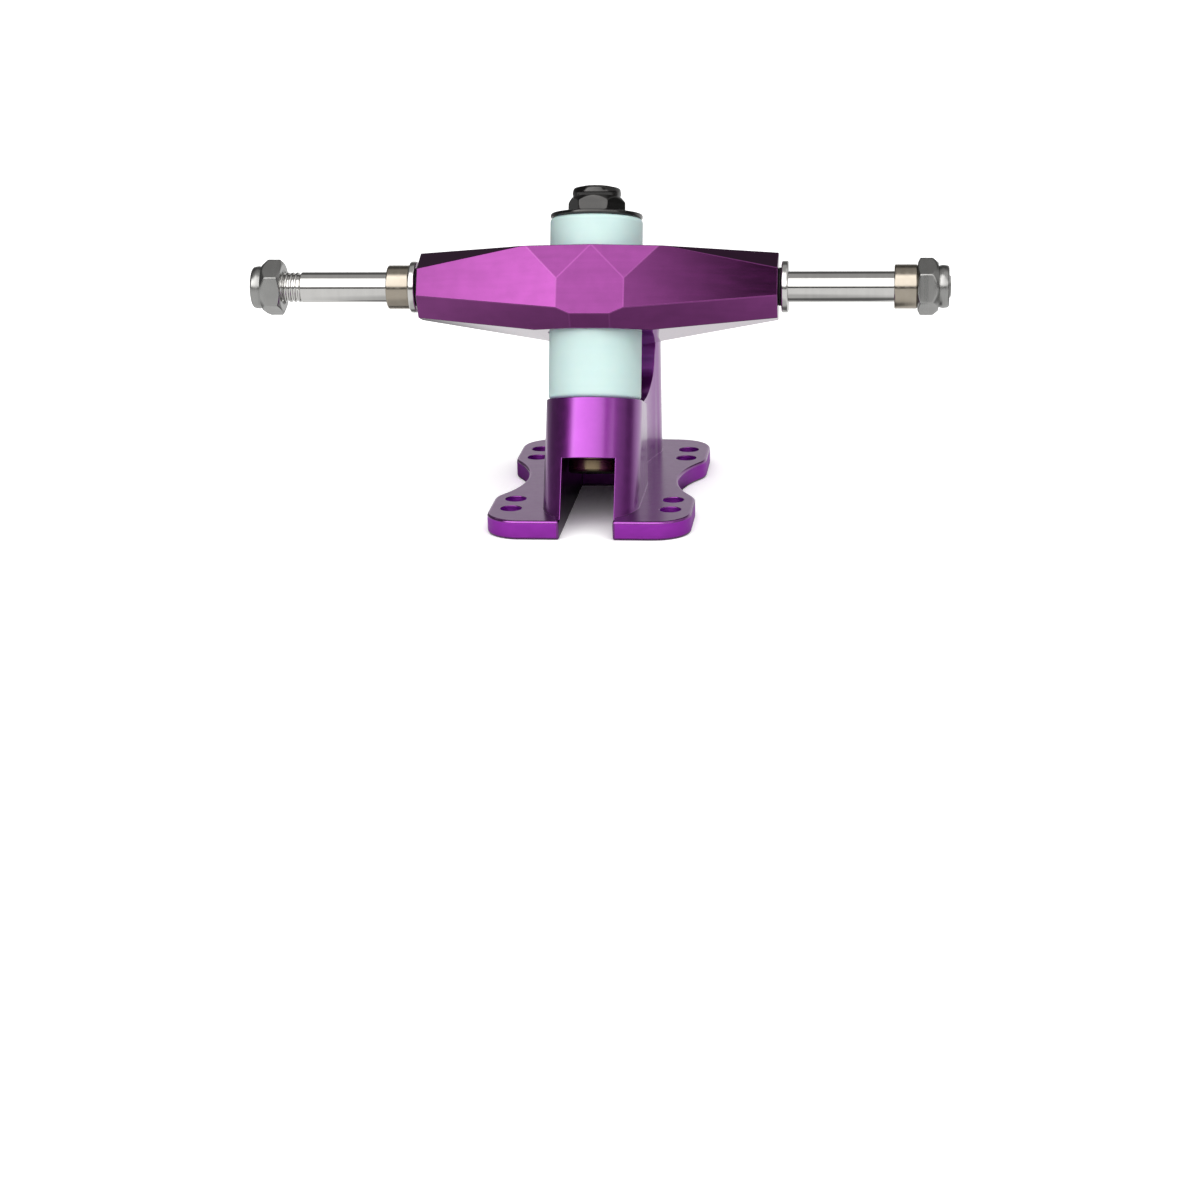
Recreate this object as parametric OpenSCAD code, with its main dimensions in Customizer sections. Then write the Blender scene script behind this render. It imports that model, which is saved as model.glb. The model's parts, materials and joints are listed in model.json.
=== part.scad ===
// Reverse-kingpin board truck: a slotted base plate with a leaning front post and a rear pivot post,
// a faceted hanger on two bushings, two half axles and their washers, spacers and lock nuts.
// Millimetres. X runs along the axle, Y runs back to the pivot, Z is up.
// The origin is the centre of the deck bolt pattern on the mounting face.

/* [Base plate] */
// Length of the plate, front to back
plate_length = 88; // [84:0.5:96]
// Width over the ears
plate_width = 52.6; // [51:0.2:58]
// Width at the waist between the ears
waist_width = 40.8; // [38:0.2:46]
// Thickness of the plate
plate_thick = 5; // [4:0.25:7]
// Corner radius of the ears
ear_radius = 9.2; // [7:0.2:11]

/* [Deck bolts] */
// Spacing of the bolt holes across the plate
bolt_across = 41.275; // [41.275]
// Long spacing of the bolt holes, outer to outer
bolt_long = 63.5; // [63.5]
// Short spacing of the bolt holes, outer to inner
bolt_short = 53.975; // [53.975]
// Diameter of the bolt holes
bolt_hole = 5.5; // [5.2:0.1:6]

/* [Posts] */
// Width of the front post and the rib
post_width = 25; // [24.6:0.2:28]
// Width of the rear post
rear_post_width = 26.6; // [25.6:0.2:29]
// Y of the centre of the bushing seat
seat_y = -16; // [-18:0.5:-14]
// Z of the centre of the bushing seat
seat_z = 30; // [28:0.5:34]
// Lean of the front post, degrees from upright
post_lean = 27.5; // [24:0.5:30]
// Radius of the lower corners of the valley between the posts
valley_radius = 9.5; // [8.5:0.25:11]
// Half width of the rib where its sides are hollowed
rib_half = 10.1; // [9:0.1:11.5]
// Width of the open slot under the kingpin
slot_width = 13.7; // [13.4:0.1:15]
// Back end of the slot
slot_back = 10; // [4:1:14]

/* [Kingpin and bushings] */
// Lean of the kingpin, degrees from upright
kingpin_lean = 17; // [14:0.5:20]
// Diameter of the kingpin shank
kingpin_dia = 9.5; // [9.5:0.1:10]
// Depth of metal the kingpin passes through in the front post
kingpin_grip = 15.75; // [14:0.25:18]
// Outside diameter of the bushings
bushing_dia = 24.1; // [23.5:0.1:24.4]
// Height of the lower bushing
lower_bushing_height = 19; // [17:0.5:20]
// Height of the upper bushing
upper_bushing_height = 15; // [14:0.5:18]
// Thickness of the washer on the upper bushing
washer_thick = 1.1; // [0.9:0.1:2]
// Width of the kingpin nut across its flats
kingpin_nut_flats = 13.1; // [12.8:0.1:14.5]
// Height of the hexagon of the kingpin nut
kingpin_nut_hex = 4.3; // [3.6:0.1:6]
// Height of the round collar of the kingpin nut
kingpin_nut_collar = 2.5; // [2:0.1:3]
// Diameter of the round collar of the kingpin nut
kingpin_collar_dia = 13; // [12.4:0.1:13.4]
// Height of the kingpin head
kingpin_head = 3.2; // [2.6:0.1:4.5]

/* [Hanger] */
// Length of the hanger between its end faces
hanger_length = 94.5; // [90:0.5:110]
// Height of the hanger along the kingpin
hanger_height = 21.5; // [20.5:0.25:23]
// Depth of the lower bushing seat
lower_seat = 1.5; // [1:0.25:2.5]
// Metal between the two bushing seats
hanger_web = 13.2; // [12:0.2:14]
// Diameter of the kingpin hole
kingpin_hole = 14; // [13.8:0.1:15]
// Reach of the hanger front ahead of the kingpin
front_reach = 16; // [15.6:0.1:18]

/* [Axles] */
// Axle diameter
axle_dia = 8; // [8]
// Distance of the axle behind the kingpin, square to the kingpin
axle_back = 6.2; // [5:0.2:7]
// Axle height above the bushing seat, along the kingpin
axle_up = 30.2; // [29.5:0.1:31]
// Distance between the two axle tips
axle_span = 183.6; // [178:0.2:200]
// Length of the thread at each axle tip
thread_length = 12.8; // [11:0.2:16]
// Depth of each half axle in the hanger
axle_grip = 25; // [20:0.5:28]
// Width of the axle nuts across their flats
axle_nut_flats = 13; // [13]
// Height of the hexagon of the axle nuts
axle_nut_hex = 5.4; // [4.8:0.1:6.5]
// Height of the round collar of the axle nuts
axle_nut_collar = 2.8; // [2:0.1:3.5]
// Diameter of the round collar of the axle nuts
axle_collar_dia = 12.4; // [11.6:0.1:13]
// Outside diameter of the spacers
spacer_dia = 11.5; // [10.5:0.1:13]
// Length of the spacers
spacer_length = 6; // [4:0.5:8]
// Outside diameter of the hub washers
hub_washer_dia = 13.5; // [12:0.1:15]
// Thickness of the hub washers
hub_washer_thick = 1.8; // [1:0.1:2.5]
// Thickness of the rubber seals at the hanger ends
seal_thick = 0.8; // [0.5:0.1:1.2]

/* [Pivot] */
// Diameter of the pivot pin
pivot_dia = 11; // [9:0.2:12]
// Outside diameter of the pivot cup
cup_dia = 16; // [14.5:0.2:17]
// Depth of the pivot cup in the rear post
cup_depth = 11.5; // [10:0.25:12.5]
// Length of the pivot pin held in the hanger nose
pivot_grip = 13; // [10:0.5:15]

/* [Hidden] */
$fn = 96;
overlap = 1;
slide_fit = 0.05;
bushing_fit = 0.2;
post_step = 0.4;
arch_rise = 0.8;
nose_gap = 1.5;
thread_proud = 0.35;
thread_inset = 0.05;
washer_edge = 0.4;
washer_inset = 0.05;
head_gap = 0.25;
purple = [0.42, 0.12, 0.55];
steel = [0.75, 0.74, 0.72];
black = [0.06, 0.06, 0.07];
mint = [0.74, 0.9, 0.86];
nylon = [0.9, 0.9, 0.88];

half_post = post_width / 2;
rear_half = rear_post_width / 2;
half_width = plate_width / 2;
half_waist = waist_width / 2;
half_length = plate_length / 2;
ear_x = half_width - ear_radius;
ear_outer = half_length - ear_radius;
ear_inner = 22;
waist_radius = (pow(ear_x - half_waist, 2) + pow(ear_inner, 2) - pow(ear_radius, 2))
    / (2 * (ear_x + ear_radius - half_waist));
waist_centre = half_waist + waist_radius;
waist_share = waist_radius / (waist_radius + ear_radius);
waist_tangent = [waist_centre + (ear_x - waist_centre) * waist_share, ear_inner * waist_share];

valley_behind = 25.3;
valley_above = 2.7;
valley_half = 15.2;
valley_flat = valley_half - valley_radius;
valley_y = seat_y + valley_behind;
valley_z = seat_z + valley_above;
rear_face_y = valley_y + valley_half;
rear_centre_y = half_length - rear_half;
rear_neck = rear_half - 1;
hollow_half_chord = 15.5;
hollow_depth = half_post - rib_half;
hollow_radius = (pow(hollow_half_chord, 2) + pow(hollow_depth, 2)) / (2 * hollow_depth);
hollow_behind = 1.2;
hollow_y = valley_y + hollow_behind;

// heights along the kingpin, from the bushing seat on the front post
hanger_bottom = lower_bushing_height - lower_seat;
lower_stop = lower_bushing_height;
upper_stop = lower_stop + hanger_web;
hanger_top = hanger_bottom + hanger_height;
washer_bottom = upper_stop + upper_bushing_height;
nut_bottom = washer_bottom + washer_thick;
nut_top = nut_bottom + kingpin_nut_hex + kingpin_nut_collar;
steer_up = (lower_stop + upper_stop) / 2;
kingpin_tip = nut_top + thread_proud;
kingpin_head_dia = slot_width - 2 * head_gap;

// distances behind the kingpin, square to it
rear_face_back = (rear_face_y - seat_y) * cos(kingpin_lean) - (valley_z - seat_z) * sin(kingpin_lean);
nose_end = rear_face_back - nose_gap;
nose_radius = steer_up - hanger_bottom;
cup_floor = 2;
cup_end = rear_face_back + cup_depth;
pivot_end_gap = 0.3;
pivot_end = cup_end - cup_floor - pivot_end_gap;

kingpin_bore = kingpin_dia + 2 * slide_fit;
bushing_bore = kingpin_dia + 4 * slide_fit;
washer_dia = bushing_dia - 2 * washer_inset;
axle_bore = axle_dia + 2 * slide_fit;
hanger_half = hanger_length / 2;
axle_tip = axle_span / 2;
thread_start = axle_tip - thread_length;
thread_dia = axle_dia - 2 * thread_inset;
seal_end = hanger_half + seal_thick;
washer_end = seal_end + hub_washer_thick;
nut_insert_wall = 0.8;
nut_lip = 0.6;
// turn of each nut, as it was left when tightened
kingpin_nut_turn = 57.5;
left_nut_turn = 43;
right_nut_turn = 12;
// reach of the left nut past the axle tip, and of the axle tip past the right nut
left_nut_past = 0.5;
right_nut_short = 0.4;
left_nut_face = axle_tip + left_nut_past - axle_nut_hex - axle_nut_collar;
right_nut_face = axle_tip - right_nut_short - axle_nut_hex - axle_nut_collar;

// set of the hanger facets: half widths along the axle, then distances from the edges they start at
crown_half = 17.9;
face_half = 8.7;
foot_half = 15;
chin_half = 5.1;
ridge_low_rise = 5;
ridge_high_rise = 12.65;
crown_set = 3;
chin_drop = 1.54;
chin_set = 3.1;
back_reach = 28.3;
back_crown = 21;
front_tilt = 0.15;
ridge_low = hanger_bottom + ridge_low_rise;
ridge_high = hanger_bottom + ridge_high_rise;
crown_front = -front_reach + front_tilt * (hanger_top - ridge_low);

// edges of the end faces, measured from the axle: ahead of it, behind it and up or down
end_ridge_down = 3.2;
end_shoulder_up = 4.1;
end_foot_down = 8.5;
front_ridge = 8.5;
front_shoulder = 7.4;
front_crown = 0.9;
front_foot = 3.7;
rear_ridge = 7.2;
rear_shoulder = 6.1;
rear_crown = 1.1;
rear_foot = 2.2;

// corners of the hanger facets on the right half: [along the axle, back, up the kingpin]
crown_middle = [0, crown_front, hanger_top];
crown_corner = [crown_half, crown_front + crown_set, hanger_top];
face_low = [face_half, -front_reach, ridge_low];
face_high = [face_half, -front_reach + front_tilt * (ridge_high - ridge_low), ridge_high];
chin = [chin_half, -front_reach - front_tilt * chin_drop, ridge_low - chin_drop];
chin_foot = [0, chin[1] + chin_set, hanger_bottom];
end_ridge = [hanger_half, axle_back - front_ridge, axle_up - end_ridge_down];
end_shoulder = [hanger_half, axle_back - front_shoulder, axle_up + end_shoulder_up];
end_crown = [hanger_half, axle_back - front_crown, hanger_top];
end_foot = [hanger_half, axle_back - front_foot, axle_up - end_foot_down];
back_low = [foot_half, back_reach, ridge_low];
back_high = [foot_half, back_reach - front_tilt * (ridge_high - ridge_low), ridge_high];
back_corner = [crown_half, back_crown, hanger_top];
back_ridge = [hanger_half, axle_back + rear_ridge, axle_up - end_ridge_down];
back_shoulder = [hanger_half, axle_back + rear_shoulder, axle_up + end_shoulder_up];
back_edge = [hanger_half, axle_back + rear_crown, hanger_top];
back_foot = [hanger_half, axle_back + rear_foot, axle_up - end_foot_down];
// angle between each side of the nose and the truck's middle
nose_flare = 30;

module kingpin_frame() {
    translate([0, seat_y, seat_z])
        rotate([-kingpin_lean, 0, 0])
            children();
}

module steering_frame() {
    kingpin_frame()
        translate([0, 0, steer_up])
            rotate([-90, 0, 0])
                children();
}

// the frame of one half axle: its z axis runs outward from the middle of the hanger
module axle_frame(side) {
    kingpin_frame()
        translate([0, axle_back, axle_up])
            rotate([0, 90 * side, 0])
                children();
}

module ring(outer, inner, height) {
    difference() {
        cylinder(d = outer, h = height);
        translate([0, 0, -overlap])
            cylinder(d = inner, h = height + 2 * overlap);
    }
}

// everything on the far side of the plane through three corners, seen from the middle of the hanger
module beyond(p, q, r) {
    reach = 3 * hanger_length;
    middle = [0, axle_back, axle_up];
    across = cross(q - p, r - p);
    out = (middle - p) * across > 0 ? -across : across;
    translate(p)
        rotate([0, acos(out[2] / norm(out)), atan2(out[1], out[0])])
            translate([-reach / 2, -reach / 2, 0])
                cube(reach);
}

module plate_outline() {
    for (x = [-1, 1], y = [-1, 1]) {
        translate([x * ear_x, y * ear_outer])
            circle(ear_radius);
        translate([x * ear_x, y * ear_inner])
            circle(ear_radius);
    }
    for (y = [-1, 1])
        translate([0, y * (ear_outer + ear_inner) / 2])
            square([plate_width, ear_outer - ear_inner], center = true);
    square([2 * ear_x, plate_length], center = true);
    difference() {
        square(2 * waist_tangent, center = true);
        for (x = [-1, 1])
            translate([x * waist_centre, 0])
                circle(waist_radius, $fn = 180);
    }
}

module rib_plan() {
    difference() {
        union() {
            translate([post_step - half_post, hollow_y - 2 * hollow_half_chord])
                square([post_width - 2 * post_step, 2 * hollow_half_chord]);
            translate([-rear_neck, hollow_y])
                square([2 * rear_neck, rear_centre_y - hollow_y]);
            translate([0, rear_centre_y])
                circle(rear_half);
        }
        for (x = [-1, 1])
            translate([x * (rib_half + hollow_radius), hollow_y])
                circle(hollow_radius, $fn = 180);
    }
}

// section of the valley along the truck: a flat floor between two round corners
module valley_section() {
    for (y = [-1, 1])
        translate([valley_y + y * valley_flat, valley_z])
            circle(valley_radius);
    translate([valley_y, valley_z])
        square([2 * valley_flat, 2 * valley_radius], center = true);
}

// the seat's slope runs down into the valley's front corner
module rib_side() {
    seat_drop = tan(kingpin_lean);
    corner_y = valley_y - valley_flat - valley_radius * sin(kingpin_lean);
    difference() {
        polygon([
            [seat_y, 0],
            [seat_y, seat_z - overlap],
            [corner_y, seat_z - overlap - (corner_y - seat_y) * seat_drop],
            [corner_y, valley_z],
            [rear_face_y, valley_z],
            [rear_face_y + seat_z * seat_drop, valley_z + seat_z],
            [half_length + overlap, valley_z + seat_z],
            [half_length + overlap, 0]
        ]);
        valley_section();
    }
}

module rib() {
    intersection() {
        linear_extrude(valley_z + seat_z)
            rib_plan();
        rotate([90, 0, 90])
            translate([0, 0, -rear_half - overlap])
                linear_extrude(rear_post_width + 2 * overlap)
                    rib_side();
        steering_frame()
            translate([0, 0, -plate_length])
                linear_extrude(2 * plate_length)
                    union() {
                        circle(rear_half + arch_rise);
                        translate([-rear_half - arch_rise, 0])
                            square([rear_post_width + 2 * arch_rise, plate_length]);
                    }
    }
}

module front_post() {
    post_back = hollow_y - hollow_half_chord;
    difference() {
        translate([0, seat_y, seat_z])
            rotate([-post_lean, 0, 0])
                translate([0, 0, -2 * seat_z])
                    linear_extrude(3 * seat_z) {
                        circle(half_post);
                        translate([-half_post, 0])
                            square([post_width, plate_length]);
                    }
        kingpin_frame()
            translate([-plate_length, -plate_length, 0])
                cube(2 * plate_length);
        translate([-plate_length, -plate_length, -2 * plate_length])
            cube(2 * plate_length);
        translate([-plate_length, post_back, -plate_length])
            cube(2 * plate_length);
        valley();
    }
}

module valley() {
    rotate([90, 0, 90])
        translate([0, 0, -plate_length])
            linear_extrude(2 * plate_length)
                valley_section();
}

module slot() {
    intersection() {
        kingpin_frame()
            translate([-slot_width / 2, -plate_length, -kingpin_grip - plate_length])
                cube([slot_width, 2 * plate_length, plate_length]);
        translate([-slot_width, -plate_length, -overlap])
            cube([2 * slot_width, plate_length + slot_back, seat_z]);
    }
}

module base_plate() {
    inner_y = bolt_short - bolt_long / 2;
    color(purple)
        difference() {
            union() {
                linear_extrude(plate_thick)
                    plate_outline();
                rib();
                front_post();
            }
            slot();
            for (x = [-1, 1], y = [-bolt_long / 2, -inner_y, inner_y, bolt_long / 2])
                translate([x * bolt_across / 2, y, -overlap])
                    cylinder(d = bolt_hole, h = plate_thick + 2 * overlap);
            kingpin_frame()
                translate([0, 0, -kingpin_grip - overlap])
                    cylinder(d = kingpin_dia, h = kingpin_grip + 2 * overlap);
            steering_frame()
                translate([0, 0, rear_face_back - overlap])
                    cylinder(d = cup_dia, h = cup_depth + overlap);
        }
}

module pivot_cup() {
    color(black)
        steering_frame()
            translate([0, 0, rear_face_back])
                difference() {
                    cylinder(d = cup_dia, h = cup_depth);
                    translate([0, 0, -overlap])
                        cylinder(d = pivot_dia + 2 * slide_fit, h = cup_depth - cup_floor + overlap);
                }
}

module pivot_pin() {
    tip = 2.5;
    color(steel)
        steering_frame() {
            translate([0, 0, nose_end - pivot_grip])
                cylinder(d = pivot_dia, h = pivot_end - tip - nose_end + pivot_grip);
            translate([0, 0, pivot_end - tip])
                cylinder(d1 = pivot_dia, d2 = pivot_dia - 2 * tip, h = tip);
        }
}

module hanger_body() {
    difference() {
        translate([-hanger_half, -2 * front_reach, hanger_bottom])
            cube([hanger_length, 2 * front_reach + nose_end, hanger_height]);
        for (side = [0, 1])
            mirror([side, 0, 0]) {
                beyond(face_low, face_high, end_ridge);
                beyond(crown_middle, crown_corner, face_high);
                beyond(crown_corner, end_shoulder, end_crown);
                beyond(face_low, end_ridge, end_foot);
                beyond(back_low, back_high, back_ridge);
                beyond(back_corner, back_shoulder, back_edge);
                beyond(back_low, back_ridge, back_foot);
            }
        beyond(face_low, face_high, [-face_low[0], face_low[1], face_low[2]]);
        beyond(chin, chin_foot, [-chin[0], chin[1], chin[2]]);
    }
}

module hanger_nose() {
    root_half = nose_radius + (nose_end - axle_back) * tan(nose_flare);
    slope_start = back_corner[1] - 1;
    difference() {
        translate([0, 0, hanger_bottom])
            linear_extrude(hanger_height)
                polygon([
                    [-root_half, axle_back],
                    [root_half, axle_back],
                    [nose_radius, nose_end],
                    [-nose_radius, nose_end]
                ]);
        beyond([0, slope_start, hanger_top], [1, slope_start, hanger_top],
            [0, nose_end, steer_up + nose_radius]);
    }
}

module hanger() {
    color(purple)
        kingpin_frame()
            difference() {
                union() {
                    hanger_body();
                    hanger_nose();
                }
                for (side = [0, 1])
                    mirror([side, 0, 0])
                        beyond([foot_half, 0, hanger_bottom], [foot_half, axle_back, hanger_bottom],
                            end_foot);
                translate([0, 0, hanger_bottom - overlap])
                    cylinder(d = kingpin_hole, h = hanger_height + 2 * overlap);
                translate([0, 0, hanger_bottom - overlap])
                    cylinder(d = bushing_dia + 2 * bushing_fit, h = lower_seat + overlap);
                translate([0, 0, upper_stop])
                    cylinder(d = bushing_dia + 2 * bushing_fit, h = hanger_height);
                translate([0, nose_end - pivot_grip, steer_up])
                    rotate([-90, 0, 0])
                        cylinder(d = pivot_dia, h = pivot_grip + overlap);
                for (side = [-1, 1])
                    translate([0, axle_back, axle_up])
                        rotate([0, 90 * side, 0])
                            translate([0, 0, hanger_half - axle_grip])
                                cylinder(d = axle_dia, h = axle_grip + overlap);
            }
}

module kingpin() {
    edge = 1;
    color(steel)
        kingpin_frame() {
            translate([0, 0, -kingpin_grip])
                cylinder(d = kingpin_dia, h = kingpin_grip + kingpin_tip - edge);
            translate([0, 0, kingpin_tip - edge])
                cylinder(d1 = kingpin_dia, d2 = kingpin_dia - 2 * edge, h = edge);
            translate([0, 0, -kingpin_grip - kingpin_head + edge])
                cylinder(d = kingpin_head_dia, h = kingpin_head - edge);
            translate([0, 0, -kingpin_grip - kingpin_head])
                cylinder(d1 = kingpin_head_dia - 2 * edge, d2 = kingpin_head_dia, h = edge);
        }
}

// hexagon with turned corners and a round collar that holds the locking ring
module lock_nut(flats, hex, collar, collar_dia, bore, turn) {
    corner = flats / cos(30);
    chamfer = 0.45 * (corner - flats);
    collar_edge = 0.9;
    difference() {
        union() {
            intersection() {
                rotate([0, 0, turn])
                    cylinder(d = corner, h = hex, $fn = 6);
                rotate_extrude()
                    polygon([
                        [0, 0],
                        [corner / 2 - chamfer, 0],
                        [corner / 2 + overlap, (chamfer + overlap) / 2],
                        [corner / 2 + overlap, hex - chamfer - overlap],
                        [corner / 2 - chamfer, hex],
                        [0, hex]
                    ]);
            }
            cylinder(d = collar_dia, h = hex + collar - collar_edge);
            translate([0, 0, hex + collar - collar_edge])
                cylinder(d1 = collar_dia, d2 = collar_dia - 2 * collar_edge, h = collar_edge);
        }
        translate([0, 0, -overlap])
            cylinder(d = bore, h = hex + overlap);
        translate([0, 0, hex - overlap])
            cylinder(d = bore + nut_insert_wall, h = collar + 2 * overlap);
        translate([0, 0, hex])
            cylinder(d = bore + 2 * nut_insert_wall, h = collar - nut_lip);
    }
}

module locking_ring(hex, collar, bore) {
    translate([0, 0, hex])
        ring(bore + 2 * nut_insert_wall, bore, collar - nut_lip);
}

module kingpin_nut() {
    color(black)
        kingpin_frame()
            translate([0, 0, nut_bottom])
                lock_nut(kingpin_nut_flats, kingpin_nut_hex, kingpin_nut_collar, kingpin_collar_dia,
                    kingpin_bore, kingpin_nut_turn);
}

module kingpin_nut_insert() {
    color(nylon)
        kingpin_frame()
            translate([0, 0, nut_bottom])
                locking_ring(kingpin_nut_hex, kingpin_nut_collar, kingpin_bore);
}

module top_washer() {
    color(black)
        kingpin_frame()
            translate([0, 0, washer_bottom])
                difference() {
                    union() {
                        cylinder(d = washer_dia, h = washer_thick - washer_edge);
                        translate([0, 0, washer_thick - washer_edge])
                            cylinder(d1 = washer_dia, d2 = washer_dia - 2 * washer_edge, h = washer_edge);
                    }
                    translate([0, 0, -overlap])
                        cylinder(d = bushing_bore, h = washer_thick + 2 * overlap);
                }
}

module bushing(height) {
    edge = 0.6;
    difference() {
        union() {
            cylinder(d1 = bushing_dia - 2 * edge, d2 = bushing_dia, h = edge);
            translate([0, 0, edge])
                cylinder(d = bushing_dia, h = height - 2 * edge);
            translate([0, 0, height - edge])
                cylinder(d1 = bushing_dia, d2 = bushing_dia - 2 * edge, h = edge);
        }
        translate([0, 0, -overlap])
            cylinder(d = bushing_bore, h = height + 2 * overlap);
    }
}

module upper_bushing() {
    color(mint)
        kingpin_frame()
            translate([0, 0, upper_stop])
                bushing(upper_bushing_height);
}

module lower_bushing() {
    color(mint)
        kingpin_frame()
            bushing(lower_bushing_height);
}

module half_axle(side) {
    edge = 0.8;
    color(steel)
        axle_frame(side) {
            translate([0, 0, hanger_half - axle_grip])
                cylinder(d = axle_dia, h = thread_start - hanger_half + axle_grip);
            translate([0, 0, thread_start])
                cylinder(d = thread_dia, h = thread_length - edge);
            translate([0, 0, axle_tip - edge])
                cylinder(d1 = thread_dia, d2 = thread_dia - 2 * edge, h = edge);
        }
}

module axle_left() {
    half_axle(-1);
}

module axle_right() {
    half_axle(1);
}

module axle_ring(side, from, outer, length) {
    axle_frame(side)
        translate([0, 0, from])
            ring(outer, axle_bore, length);
}

module axle_seal_left() {
    color(black)
        axle_ring(-1, hanger_half, axle_dia + 2, seal_thick);
}

module axle_seal_right() {
    color(black)
        axle_ring(1, hanger_half, axle_dia + 2, seal_thick);
}

module hub_washer_left() {
    color(steel)
        axle_ring(-1, seal_end, hub_washer_dia, hub_washer_thick);
}

module hub_washer_right() {
    color(steel)
        axle_ring(1, seal_end, hub_washer_dia, hub_washer_thick);
}

module spacer_left() {
    color(steel)
        axle_ring(-1, washer_end, spacer_dia, spacer_length);
}

module spacer_right() {
    color(steel)
        axle_ring(1, right_nut_face - spacer_length, spacer_dia, spacer_length);
}

module axle_nut_left() {
    color(steel)
        axle_frame(-1)
            translate([0, 0, left_nut_face])
                lock_nut(axle_nut_flats, axle_nut_hex, axle_nut_collar, axle_collar_dia, axle_bore,
                    left_nut_turn);
}

module axle_nut_right() {
    color(steel)
        axle_frame(1)
            translate([0, 0, right_nut_face])
                lock_nut(axle_nut_flats, axle_nut_hex, axle_nut_collar, axle_collar_dia, axle_bore,
                    right_nut_turn);
}

module nut_insert_left() {
    color(nylon)
        axle_frame(-1)
            translate([0, 0, left_nut_face])
                locking_ring(axle_nut_hex, axle_nut_collar, axle_bore);
}

module nut_insert_right() {
    color(nylon)
        axle_frame(1)
            translate([0, 0, right_nut_face])
                locking_ring(axle_nut_hex, axle_nut_collar, axle_bore);
}

base_plate();
pivot_cup();
pivot_pin();
hanger();
kingpin();
kingpin_nut();
kingpin_nut_insert();
top_washer();
upper_bushing();
lower_bushing();
axle_left();
axle_right();
axle_seal_left();
axle_seal_right();
hub_washer_left();
hub_washer_right();
spacer_left();
spacer_right();
axle_nut_left();
axle_nut_right();
nut_insert_left();
nut_insert_right();
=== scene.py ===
"""Board truck: a finer mesh and a procedural finish for every piece, on a white studio floor."""

import json
import logging
import math
from dataclasses import dataclass
from enum import Enum, IntEnum
from functools import reduce
from typing import Any, Callable, ClassVar, Optional, Sequence

import bmesh
import bpy
from mathutils import Matrix, Vector

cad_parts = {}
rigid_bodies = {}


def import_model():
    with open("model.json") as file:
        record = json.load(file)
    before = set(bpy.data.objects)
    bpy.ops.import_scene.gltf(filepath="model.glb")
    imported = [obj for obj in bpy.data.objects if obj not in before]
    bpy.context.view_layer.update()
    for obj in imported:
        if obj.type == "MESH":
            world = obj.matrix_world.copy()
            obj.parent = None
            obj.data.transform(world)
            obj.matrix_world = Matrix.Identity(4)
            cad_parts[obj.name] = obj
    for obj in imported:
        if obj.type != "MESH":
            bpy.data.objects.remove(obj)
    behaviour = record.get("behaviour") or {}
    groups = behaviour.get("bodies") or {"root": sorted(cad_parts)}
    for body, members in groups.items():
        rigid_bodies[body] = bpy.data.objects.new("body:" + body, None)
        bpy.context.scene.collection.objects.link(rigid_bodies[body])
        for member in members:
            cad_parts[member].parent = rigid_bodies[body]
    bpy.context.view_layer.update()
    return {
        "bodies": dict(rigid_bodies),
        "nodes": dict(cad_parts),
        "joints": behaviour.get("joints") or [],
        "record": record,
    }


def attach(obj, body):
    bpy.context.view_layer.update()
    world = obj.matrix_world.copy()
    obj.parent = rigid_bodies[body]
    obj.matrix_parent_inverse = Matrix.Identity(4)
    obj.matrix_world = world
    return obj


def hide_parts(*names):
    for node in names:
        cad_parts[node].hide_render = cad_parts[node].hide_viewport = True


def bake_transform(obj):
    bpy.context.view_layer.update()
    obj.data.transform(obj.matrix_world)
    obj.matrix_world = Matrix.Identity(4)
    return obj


LOG = logging.getLogger("truck")
MM = 0.001
WELD = 0.002 * MM
ROUND_SIDES = 128
HEX_SIDES = 6
HEX_STEP = 60
WHITE = (1.0, 1.0, 1.0, 1.0)

Colour = tuple[float, float, float]
Corner = tuple[float, float, float]
Place = tuple[float, float, float]
Frame = dict[str, Any]
Piece = bpy.types.Object
Material = bpy.types.Material
Socket = bpy.types.NodeSocket


class Side(Enum):
    """The two ends of the axle."""

    LEFT = "left"
    RIGHT = "right"


class Slot(Enum):
    """Material slots of the record."""

    PLATE = "purple_anodised"
    MINT = "mint_urethane"
    CUP = "pivot_urethane"
    KINGPIN = "kingpin_steel"
    BLACK = "black_steel"
    BRIGHT = "bright_steel"
    NICKEL = "nickel"
    ZINC = "zinc_steel"
    NYLON = "nylon"
    RUBBER = "seal_rubber"


class Dress(IntEnum):
    """Places of the finishes on a machined piece."""

    FACES = 0
    # EDGES takes a lighter copy of the piece's finish: a painted highlight along the broken edges.
    EDGES = 1
    # APART takes the plate's wall finish: rougher, and lighter to paint extra light on the walls.
    APART = 2


NUT_TURNS = {Side.LEFT: math.radians(30), Side.RIGHT: math.radians(25)}


@dataclass(frozen=True)
class Span:
    """How far a turned piece reaches along its axis and out from it, in metres."""

    low: float
    high: float
    inner: float
    outer: float


@dataclass(frozen=True)
class Fade:
    """A smooth change: where it starts and ends, and the values there."""

    start: float
    end: float
    low: float = 0.0
    high: float = 1.0


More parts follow.
